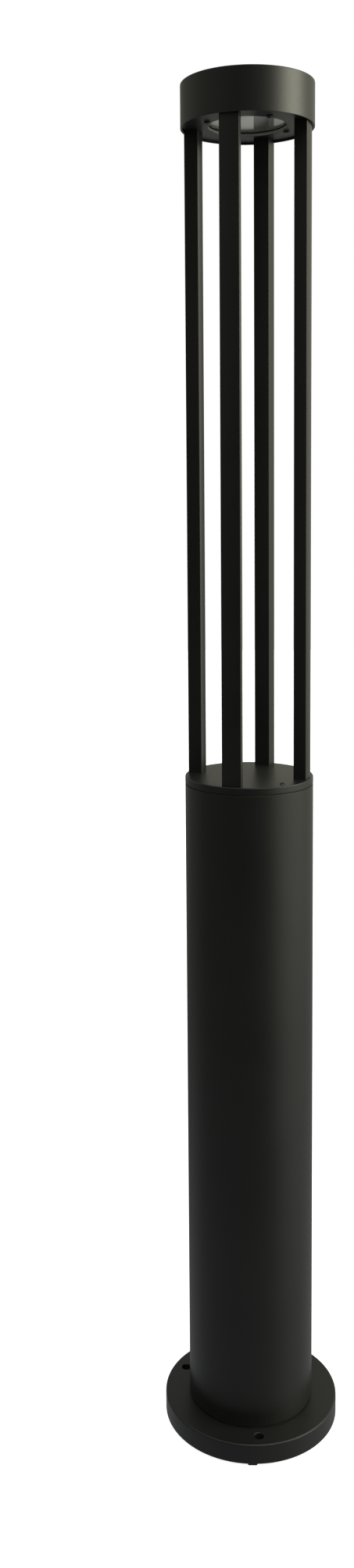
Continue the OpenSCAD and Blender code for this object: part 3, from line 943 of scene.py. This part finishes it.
@dataclass
class Deck:
    """Plate that closes the column, with its gasket and the vent plug."""

    layout: Layout
    edge: float = 0.9 * MM
    lower_edge: float = 0.3 * MM
    ring_wall: float = 8 * MM
    ring_edge: float = 0.5 * MM
    vent_azimuth: float = 30.0
    vent_stem: float = 1.5 * MM
    dome_steps: int = 10

    def build(self) -> None:
        """Make and dress the deck's pieces."""
        gasket = Extent.of("deck_gasket")
        size = Extent.of("deck_plate")
        register = self.layout.register
        outline = rounded([
            (0, gasket.high, 0),
            (register - self.ring_wall, gasket.high, self.ring_edge),
            (register - self.ring_wall, size.low, self.ring_edge),
            (register, size.low, self.ring_edge),
            (register, gasket.high, 0),
            (size.radius, gasket.high, self.lower_edge),
            (size.radius, size.high, self.edge),
            (0, size.high, 0),
        ])
        vent = size.drill(self.vent_stem + self.layout.thread_gap)
        tools = self.layout.ways(size, self.layout.rod_way)
        tools.append(vent.at(place(self.vent_azimuth, self.layout.bore_circle)))
        plate = Workpiece("deck_casting", lathe(outline, FINE_STEPS))
        plate.work(Cut.AWAY, tools).dress(COAT, "deck_plate")
        ring = Workpiece("deck_gasket_ring", lathe(self.layout.gasket_outline(gasket)))
        ring.work(Cut.AWAY, tools).dress(RUBBER, "deck_gasket")
        self.vent_plug(size.high).dress(BLACK_STEEL, "vent_plug")

    def vent_plug(self, level: float) -> Workpiece:
        """Make the domed plug that lets the column breathe."""
        size = Extent.of("vent_plug")
        rise = size.high - level
        dome = (size.radius * size.radius + rise * rise) / (2 * rise)
        tilt = math.asin(size.radius / dome)
        turns = [tilt * step / self.dome_steps for step in range(self.dome_steps + 1)]
        arc = [(dome * math.sin(turn), size.high - dome + dome * math.cos(turn)) for turn in turns]
        stem = [(self.vent_stem, level), (self.vent_stem, size.low), (0, size.low)]
        plug = lathe(sharp(*arc, *stem), SMALL_STEPS)
        return Workpiece("vent_plug_dome", plug.at(place(self.vent_azimuth, self.layout.bore_circle)))


@dataclass
class Cage:
    """The four posts between the deck and the head."""

    layout: Layout
    width: float = 17.4 * MM
    depth: float = 11.8 * MM
    edge: float = 0.5 * MM
    face_steps: int = 8
    names: tuple[str, ...] = ("front_post", "right_post", "back_post", "left_post")

    def section(self) -> list[Vector]:
        """Draw a post's section, which has round faces and flat sides."""
        outer = self.layout.post_radius
        inner = outer - self.depth
        half = math.asin(self.width / 2 / outer)
        turns = [half * (2 * step / self.face_steps - 1) for step in range(self.face_steps + 1)]
        outside = [(outer * math.sin(turn), -outer * math.cos(turn), 0.0) for turn in turns]
        inside = [(inner * math.sin(turn), -inner * math.cos(turn), 0.0) for turn in reversed(turns)]
        for side in (outside, inside):
            for end in (0, -1):
                side[end] = (side[end][0], side[end][1], self.edge)
        return rounded(outside + inside, 5)

    def build(self) -> None:
        """Make and dress the posts."""
        for index, name in enumerate(self.names):
            size = Extent.of(name)
            post = prism(self.section(), size.low, size.high)
            turn = self.layout.post_azimuth(index)
            piece = Workpiece(f"{name}_bar", post.at(Vector((0, 0, 0)), turn))
            bore = size.drill(self.layout.rod_way)
            piece.work(Cut.AWAY, self.layout.on_posts(bore, [index])).dress(COAT, name)


@dataclass
class Head:
    """Head casting, carrier plate, glass and the screws that hold them."""

    layout: Layout
    skirt: float = 2 * MM
    top_wall: float = 4 * MM
    edge: float = 0.8 * MM
    small_edge: float = 0.35 * MM
    aperture: float = 33.5 * MM
    ledge: float = 1.6 * MM
    lip: float = 2.5 * MM
    mouth_edge: float = 0.5 * MM
    lip_edge: float = 0.2 * MM
    lens_gasket_edge: float = 0.1 * MM
    glass_edge: float = 0.3 * MM
    seat_margin: float = 0.1 * MM
    seat_slope: float = 0.6
    screw_wall: float = 1.6 * MM
    shank: float = 1.5 * MM
    screw_head: float = 2.75 * MM
    screw_dome: float = 0.9 * MM
    screw_under: float = 0.1 * MM
    screw_depth: float = 8 * MM
    socket_across: float = 2 * MM
    socket_depth: float = 1 * MM
    boss_radius: float = 3.6 * MM

    def __post_init__(self) -> None:
        """Read the head's levels, and the circle and the bores of its screws."""
        self.tap = self.shank + self.layout.thread_gap
        self.cap = Extent.of("head_cap")
        self.carrier = Extent.of("carrier_plate")
        self.circle = self.aperture + self.ledge + self.shank + self.screw_wall

    def casting(self) -> Workpiece:
        """Make the cap, with the bosses that take its screws."""
        inner, ceiling = self.cap.radius - self.skirt, self.cap.high - self.top_wall
        outline = rounded([
            (0, ceiling, 0),
            (inner, ceiling, 2 * self.small_edge),
            (inner, self.cap.low, self.small_edge),
            (self.cap.radius, self.cap.low, self.small_edge),
            (self.cap.radius, self.cap.high, self.edge),
            (0, self.cap.high, 0),
        ], 8)
        piece = Workpiece("head_casting", lathe(outline, FINE_STEPS))
        top = self.carrier.high
        boss = bar(self.boss_radius, top, ceiling + OVER)
        drill = bar(self.tap, top - OVER, top + self.screw_depth)
        piece.work(Cut.JOIN, self.layout.between_posts(boss, self.circle))
        return piece.work(Cut.AWAY, self.layout.between_posts(drill, self.circle))

    def plate(self) -> Workpiece:
        """Make the carrier plate, with the pocket for the glass."""
        low, high, edge = self.carrier.low, self.carrier.high, self.small_edge
        pocket = self.aperture + self.ledge
        outline = rounded([
            (self.aperture, low, self.mouth_edge),
            (self.carrier.radius, low, edge),
            (self.carrier.radius, high, edge),
            (pocket, high, edge),
            (pocket, low + self.lip, 0),
            (self.aperture, low + self.lip, self.lip_edge),
        ])
        piece = Workpiece("carrier_casting", lathe(outline, FINE_STEPS))
        screw = self.carrier.drill(self.tap)
        tools = self.layout.ways(self.carrier, self.layout.rod_tap)
        return piece.work(Cut.AWAY, tools + self.layout.between_posts(screw, self.circle))

    def paint_lit_seat(self, piece: bpy.types.Object) -> None:
        """Paint the coated wall round the glass pale, as painted light that makes it read as lit."""
        piece.data.materials.append(LIT_SEAT_PAINT.material())
        reach = self.aperture + self.ledge + self.seat_margin
        for face in piece.data.polygons:
            if face.center.xy.length < reach and abs(face.normal.z) < self.seat_slope:
                face.material_index = 1

    def cap_screws(self) -> Workpiece:
        """Make the pan-head screws under the carrier."""
        size = Extent.of("cap_screws")
        levels = (size.low, self.carrier.low, size.high)
        screw = pan_screw(self.screw_head, self.shank, levels, self.screw_dome, self.screw_under, 5)
        piece = Workpiece("cap_screw_set", joined(self.layout.between_posts(screw, self.circle)))
        hollow = hex_socket(self.socket_across, size.low, self.socket_depth)
        return piece.work(Cut.AWAY, self.layout.between_posts(hollow, self.circle))

    def build(self) -> None:
        """Make and dress the head's pieces."""
        self.casting().dress(COAT, "head_cap")
        # The carrier's wall round the glass gets a pale colour as painted light
        self.paint_lit_seat(self.plate().dress(COAT, "carrier_plate"))
        self.cap_screws().dress(BLACK_STEEL, "cap_screws")
        ring = ring_outline(self.aperture, Extent.of("lens_gasket"), self.lens_gasket_edge)
        Workpiece("lens_gasket_ring", lathe(ring)).dress(RUBBER, "lens_gasket")
        disc = lathe(plate_outline(Extent.of("lens_glass"), self.glass_edge))
        Workpiece("lens_disc", disc).dress(GLASS, "lens_glass")
        dress_node("head_seal", RUBBER)


@dataclass
class LampEngine:
    """Clamp ring, reflector, lamp board and heat spreader above the glass."""

    layout: Layout
    head: Head
    reflector_seat: float = 1.5 * MM
    sheet: float = 0.8 * MM
    eye: float = 9.5 * MM
    mouth_inset: float = 1 * MM
    curve: float = 1.6
    bowl_steps: int = 24
    screw_turn: float = 22.0
    ring_edge: float = 0.3 * MM
    board_edge: float = 0.15 * MM
    board_inset: float = 0.75 * MM
    chip_sink: float = 0.2 * MM
    chip_edge: float = 0.1 * MM
    screw_dome: float = 0.6 * MM
    socket_depth: float = 0.7 * MM

    def __post_init__(self) -> None:
        """Read the clamp ring's size, and its bore from the reflector that rests on it."""
        self.clamp = Extent.of("clamp_ring")
        self.inner = Extent.of("reflector").radius - self.reflector_seat

    def clamp_ring(self) -> Workpiece:
        """Make the ring that holds the glass down."""
        size = self.clamp
        ring = ring_outline(self.inner, size, self.ring_edge)
        boss = size.drill(self.head.boss_radius + self.layout.shank_gap)
        screw = size.drill(self.head.tap)
        piece = Workpiece("clamp_ring_turned", lathe(ring))
        piece.work(Cut.AWAY, self.layout.between_posts(boss, self.head.circle))
        return piece.work(Cut.AWAY, self.layout.between_posts(screw, self.head.circle, self.screw_turn))

    def reflector(self) -> Workpiece:
        """Spin the bowl round the lamp."""
        size = Extent.of("reflector")
        spread, rise, steps = self.inner - self.mouth_inset - self.eye, size.high - size.low, self.bowl_steps
        inside: list[Vector] = []
        outside: list[Vector] = []
        for step in range(steps + 1):
            radius = self.eye + spread * (1 - step / steps) ** self.curve
            inside.append(Vector((radius, size.low + rise * step / steps)))
            outside.append(inside[-1] + self.sheet * Vector((1, 1 - step / steps)))
        rim = sharp((size.radius, size.low + self.sheet), (size.radius, size.low))
        return Workpiece("reflector_bowl", lathe(inside + outside[:0:-1] + rim))

    def chip(self) -> Workpiece:
        """Make the disc of silicone, a little lower than the dam round it."""
        size, face = Extent.of("led_chip"), PHOSPHOR.face_radius
        floor = size.low + self.chip_sink
        dam = [(face, size.low, self.chip_edge), (size.radius, size.low, self.chip_sink)]
        back = [(size.radius, size.high, 0), (0, size.high, 0)]
        dish = rounded([(0, floor, 0), (face, floor, 0), *dam, *back], 3)
        return Workpiece("lamp_chip", lathe(dish, DISC_STEPS))

    def build(self) -> None:
        """Make and dress the lamp's pieces."""
        self.clamp_ring().dress(CAST, "clamp_ring")
        self.reflector().dress(MIRROR, "reflector")
        board = Extent.of("led_board")
        disc = lathe(plate_outline(board, self.board_edge))
        circle = board.radius - self.head.screw_head - self.board_inset
        places = [place(self.layout.post_azimuth(index) + 45, circle) for index in (0, 2)]
        drill = board.drill(self.head.tap)
        drilled = Workpiece("lamp_board", disc).work(Cut.AWAY, [drill.at(spot) for spot in places])
        drilled.dress(BOARD, "led_board")
        self.chip().dress(PHOSPHOR, "led_chip")
        size = Extent.of("board_screws")
        levels = (size.low, board.low, size.high)
        screw = pan_screw(self.head.screw_head, self.head.shank, levels, self.screw_dome, 0, 4)
        screws = Workpiece("board_screw_set", joined([screw.at(spot) for spot in places]))
        hollow = hex_socket(self.head.socket_across, size.low, self.socket_depth)
        screws.work(Cut.AWAY, [hollow.at(spot) for spot in places]).dress(STEEL, "board_screws")
        dress_node("heat_spreader", CAST)
        for name in ("clamp_screws", "spreader_screws"):
            dress_node(name, STEEL)


@dataclass
class Gear:
    """Tray, terminals, driver and wiring inside the column."""

    finishes: dict[Finish, tuple[str, ...]] = field(default_factory=lambda: {
        SHEET: ("gear_tray",),
        STEEL: ("tray_screws", "driver_screws", "tie_rods", "rod_nuts", "lead_nipples"),
        BOX: ("terminal_box", "terminal_lid"),
        BOARD: ("terminal_block",),
        RUBBER: ("inlet_gland", "outlet_gland"),
        BRASS: ("earth_screw",),
        EARTH: ("earth_lead",),
        DRIVER: ("led_driver",),
        CABLE: ("driver_lead", "lamp_lead"),
    })

    def build(self) -> None:
        """Dress the pieces, which keep their shapes."""
        for finish, names in self.finishes.items():
            for name in names:
                dress_node(name, finish)


# ---- Studio and camera ----


@dataclass(frozen=True)
class Glow:
    """Soft patch of light in the surround.

    Its spread says how squarely a direction faces it at its edge and at its middle. With a rise,
    it also fades in from a lower to a higher slope of the direction.
    """

    aim: Colour
    spread: tuple[float, float]
    strength: float
    rise: tuple[float, float] | None = None

    def write(self, graph: Graph, way: Signal, up: Signal) -> Signal:
        """Write the patch's nodes.

        Args:
            graph: The world's graph.
            way: The direction that is looked in.
            up: That direction's slope, from -1 for down to 1 for up.

        Returns:
            The patch's strength in that direction.
        """
        settings = {"operation": "DOT_PRODUCT"}
        facing = graph.node("ShaderNodeVectorMath", settings, {0: way, 1: self.aim}, "Value")
        patch = facing.ramp(*self.spread)
        if self.rise:
            patch = patch * up.ramp(*self.rise)
        return patch * self.strength


@dataclass
class Studio:
    """Pale floor, white surround with soft patches of light, and a soft box."""

    floor_radius: float = 6.0
    floor_depth: float = 0.02
    floor_grey: Colour = (0.8, 0.8, 0.8)
    floor_glow: float = 0.86
    white: float = 1.0
    haze: float = 0.012
    behind: Glow = Glow((0.0, 1.0, 0.0), (0.75, 1.0), 0.38, (-0.42, -0.14))
    left: Glow = Glow((-1.0, 0.0, 0.0), (0.15, 1.0), 0.3, (-0.6, 0.5))
    left_edge: Glow = Glow((-0.72, 0.69, 0.0), (0.7, 0.95), 0.12)
    right: Glow = Glow((0.95, -0.31, 0.0), (0.72, 1.0), 2.6, (-0.62, 0.25))
    right_edge: Glow = Glow((0.75, 0.66, 0.0), (0.6, 0.95), 0.68, (-0.9, 0.35))
    sky: Glow = Glow((0.0, 0.0, 1.0), (0.3, 1.0), 0.38)
    front: Glow = Glow((0.12, -0.5, 0.86), (0.92, 1.0), 3.0)
    ground: Glow = Glow((0.0, 0.0, -1.0), (0.38, 0.58), 0.32)
    warm_rise: tuple[float, float] = (-0.4, -0.1)
    warm_fall: tuple[float, float] = (0.7, 0.4)
    warm: Colour = (1.0, 0.99, 0.82)
    cool: Colour = (0.97, 1.0, 1.0)
    box_tint: Colour = (1.0, 0.985, 0.78)
    box_place: Corner = (1.43, -0.42, 1.62)
    box_aim: Corner = (0.0, 0.0, 1.18)
    box_size: tuple[float, float] = (0.95, 1.0)
    box_power: float = 15.0

    def floor(self) -> None:
        """Lay the floor, which only the camera sees."""
        outline = plate_outline(Extent(self.floor_radius, -self.floor_depth, 0.0), 0.0)
        disc = raw_object("floor", lathe(outline, DISC_STEPS))
        material = bpy.data.materials.new("floor_paper")
        material.use_nodes = True
        graph = Graph(material.node_tree)
        graph.surface(
            Base_Color=self.floor_grey,
            Roughness=0.9,
            Specular_IOR_Level=0.0,
            Emission_Color=(1.0, 1.0, 1.0, 1.0),
            Emission_Strength=self.floor_glow,
        )
        disc.data.materials.append(material)
        disc.visible_glossy = False
        disc.visible_diffuse = False
        disc.visible_transmission = False

    def surround(self) -> None:
        """Paint the world: white where it shows, and graded where it lights."""
        world = bpy.data.worlds.new("studio")
        bpy.context.scene.world = world
        world.use_nodes = True
        graph = Graph(world.node_tree)
        way = graph.node("ShaderNodeTexCoord", output="Generated")
        up = graph.node("ShaderNodeSeparateXYZ", None, {0: way}, "Z")
        glows = (self.behind, self.left, self.left_edge, self.right, self.right_edge, self.sky,
                 self.front, self.ground)
        light = self.haze + glows[0].write(graph, way, up)
        for glow in glows[1:]:
            light = light + glow.write(graph, way, up)
        level = up.ramp(*self.warm_rise) * up.ramp(*self.warm_fall)
        tone = graph.mix(level, self.cool, self.warm)
        lit = graph.node("ShaderNodeBackground", None, {"Color": tone, "Strength": light})
        plain = graph.node("ShaderNodeBackground", None, {"Color": (1, 1, 1, 1), "Strength": self.white})
        seen = graph.node("ShaderNodeLightPath", output="Is Camera Ray")
        both = graph.node("ShaderNodeMixShader", None, {0: seen, 1: lit, 2: plain})
        graph.close(both, "ShaderNodeOutputWorld")

    def soft_box(self) -> None:
        """Hang the soft box to the right."""
        light = bpy.data.lights.new("right_box", "AREA")
        light.shape = "RECTANGLE"
        light.size, light.size_y = self.box_size
        light.energy = self.box_power
        light.color = self.box_tint
        made = bpy.data.objects.new("right_box", light)
        made.location = self.box_place
        made.rotation_euler = (Vector(self.box_aim) - made.location).to_track_quat("-Z", "Y").to_euler()
        bpy.context.scene.collection.objects.link(made)

    def build(self) -> None:
        """Set up the studio."""
        self.floor()
        self.surround()
        self.soft_box()
        bpy.context.scene.view_settings.view_transform = "Standard"


@dataclass
class Viewpoint:
    """The camera, in front of the light and level with its posts."""

    location: Corner = (-0.1302, -1.1988, 0.8634)
    azimuth: float = math.radians(-6.2)
    yaw: float = 0.0526
    pitch: float = 0.1135
    roll: float = -0.0085
    lens: float = 31.49
    sensor: float = 36.0
    shift: float = -0.0902

    def build(self) -> None:
        """Make the scene's camera."""
        camera = bpy.data.cameras.new("camera")
        camera.lens = self.lens
        camera.sensor_width = self.sensor
        camera.shift_y = self.shift
        made = bpy.data.objects.new("camera", camera)
        turn = Matrix.Rotation(self.azimuth, 4, "Z") @ Matrix.Rotation(self.yaw, 4, "Z")
        tilt = Matrix.Rotation(math.pi / 2 - self.pitch, 4, "X")
        lean = Matrix.Rotation(self.roll, 4, "Z")
        made.matrix_world = Matrix.Translation(Vector(self.location)) @ turn @ tilt @ lean
        bpy.context.scene.collection.objects.link(made)
        bpy.context.scene.camera = made


def main() -> None:
    """Build the light, its studio and the camera."""
    logging.basicConfig(level=logging.INFO, format="%(message)s")
    Viewpoint().build()
    Studio().build()
    layout = Layout()
    head = Head(layout)
    engine = LampEngine(layout, head)
    for part in (Base(layout), Column(layout), Deck(layout), Cage(layout), head, engine, Gear()):
        LOG.info("== %s", type(part).__name__)
        part.build()


if __name__ == "__main__":
    main()
